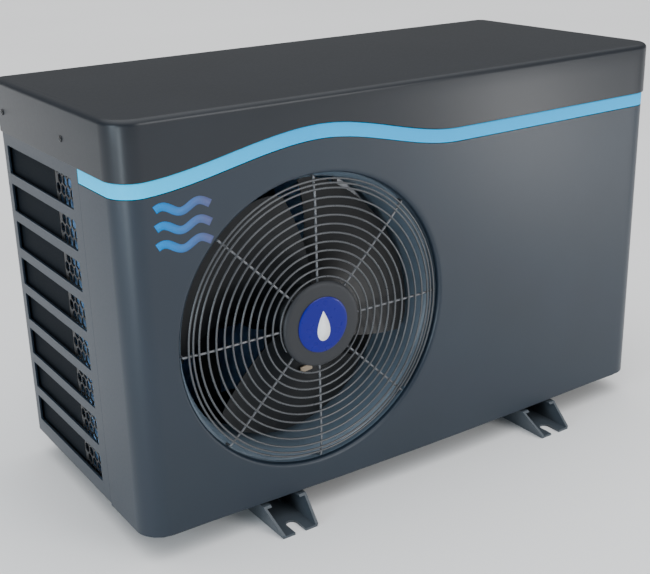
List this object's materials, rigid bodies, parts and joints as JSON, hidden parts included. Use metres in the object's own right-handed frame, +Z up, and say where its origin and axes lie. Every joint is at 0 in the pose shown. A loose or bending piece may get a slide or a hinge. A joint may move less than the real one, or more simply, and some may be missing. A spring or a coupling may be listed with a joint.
{
  "type": "heat pump unit",
  "caption": "Low box-shaped pool heat pump with a round fan guard on its front, side air slots, a wavy blue trim line under its cover and two foot rails.",
  "frame": {"origin": "on the ground, under the middle of the unit's bounding box", "axes": "+Z up, the fan's side faces -Y, the water unions point to +X"},
  "size_m": [0.816, 0.412, 0.491],
  "materials": {
    "casing": "satin, fine moulded texture, anthracite",
    "accent": "satin light blue",
    "dark_plastic": "matt black",
    "dark_paint": "satin dark blue-grey powder coat",
    "guard_wire": "satin silver-grey",
    "badge": "gloss deep blue",
    "motor_paint": "gloss black",
    "galvanised": "zinc coated",
    "steel": "ground",
    "can_aluminium": "drawn",
    "coil_fins": "blue corrosion coating",
    "copper": "bright copper",
    "brass": "machined",
    "titanium": "drawn tube",
    "rubber": "matt black",
    "pvc": "grey",
    "board": "green solder mask",
    "clear_cover": "clear smoked plastic",
    "keycap": "satin grey"
  },
  "bodies": {
    "cabinet": {"top_cover": "casing", "front_panel": "casing", "left_side_panel": "casing", "right_side_panel": "casing", "rear_panel": "casing", "accent_strip": "accent", "fan_shroud": "dark_plastic", "guard_hub_disc": "dark_plastic", "rear_coil_guard": "dark_plastic", "side_coil_net": "dark_plastic", "drain_spout": "dark_plastic", "control_panel": "dark_plastic", "cable_gland": "dark_plastic", "valve_solenoid": "dark_plastic", "foot_rail_left": "dark_paint", "foot_rail_right": "dark_paint", "coil_corner_baffle": "dark_paint", "fan_guard": "guard_wire", "hub_badge": "badge", "fan_motor": "motor_paint", "compressor": "motor_paint", "suction_accumulator": "motor_paint", "base_tray": "galvanised", "partition_panel": "galvanised", "motor_bracket": "galvanised", "coil_end_plate_front": "galvanised", "coil_end_plate_rear": "galvanised", "control_box": "galvanised", "control_box_cover": "galvanised", "fan_capacitor": "can_aluminium", "evaporator_coil": "coil_fins", "discharge_pipe": "copper", "suction_pipe": "copper", "coil_gas_pipe": "copper", "exchanger_gas_pipe": "copper", "liquid_pipe": "copper", "coil_liquid_pipe": "copper", "filter_drier": "copper", "four_way_valve": "brass", "expansion_valve": "brass", "flow_switch": "brass", "titanium_coil": "titanium", "compressor_grommet_1": "rubber", "compressor_grommet_2": "rubber", "compressor_grommet_3": "rubber", "exchanger_shell": "pvc", "exchanger_cap": "pvc", "union_tail_inlet": "pvc", "union_tail_outlet": "pvc", "circuit_board": "board"},
    "fan": {"fan_rotor": "dark_plastic", "motor_shaft": "steel", "shaft_nut": "brass"},
    "cover": {"display_cover": "clear_cover"},
    "power_button": {"button_power": "keycap"},
    "up_button": {"button_up": "keycap"},
    "down_button": {"button_down": "keycap"},
    "inlet_nut": {"union_nut_inlet": "dark_plastic"},
    "outlet_nut": {"union_nut_outlet": "dark_plastic"},
    "paddle": {"flow_paddle": "galvanised"}
  },
  "joints": [
    {"name": "fan_spin", "type": "hinge", "parent": "cabinet", "child": "fan", "pos_m": [-0.18, -0.115, 0.234], "axis": [0, -1, 0], "continuous": true},
    {"name": "cover_hinge", "type": "hinge", "parent": "cabinet", "child": "cover", "pos_m": [0.3654, -0.02, 0.4055], "axis": [0, -1, 0], "range_deg": [0, 120]},
    {"name": "power_press", "type": "slide", "parent": "cabinet", "child": "power_button", "axis": [-1, 0, 0], "range_m": [0, 0.001], "stiffness_N_per_m": 800, "springref_m": -0.0005},
    {"name": "up_press", "type": "slide", "parent": "cabinet", "child": "up_button", "axis": [-1, 0, 0], "range_m": [0, 0.001], "stiffness_N_per_m": 800, "springref_m": -0.0005},
    {"name": "down_press", "type": "slide", "parent": "cabinet", "child": "down_button", "axis": [-1, 0, 0], "range_m": [0, 0.001], "stiffness_N_per_m": 800, "springref_m": -0.0005},
    {"name": "inlet_nut_turn", "type": "hinge", "parent": "cabinet", "child": "inlet_nut", "pos_m": [0.369, 0.07, 0.11], "axis": [1, 0, 0], "continuous": true},
    {"name": "outlet_nut_turn", "type": "hinge", "parent": "cabinet", "child": "outlet_nut", "pos_m": [0.369, 0.07, 0.29], "axis": [1, 0, 0], "continuous": true},
    {"name": "paddle_swing", "type": "hinge", "parent": "cabinet", "child": "paddle", "pos_m": [0.31, 0.07, 0.1285], "axis": [0, 1, 0], "range_deg": [0, 25], "stiffness_Nm_per_rad": 0.01, "springref_deg": -5.73}
  ]
}
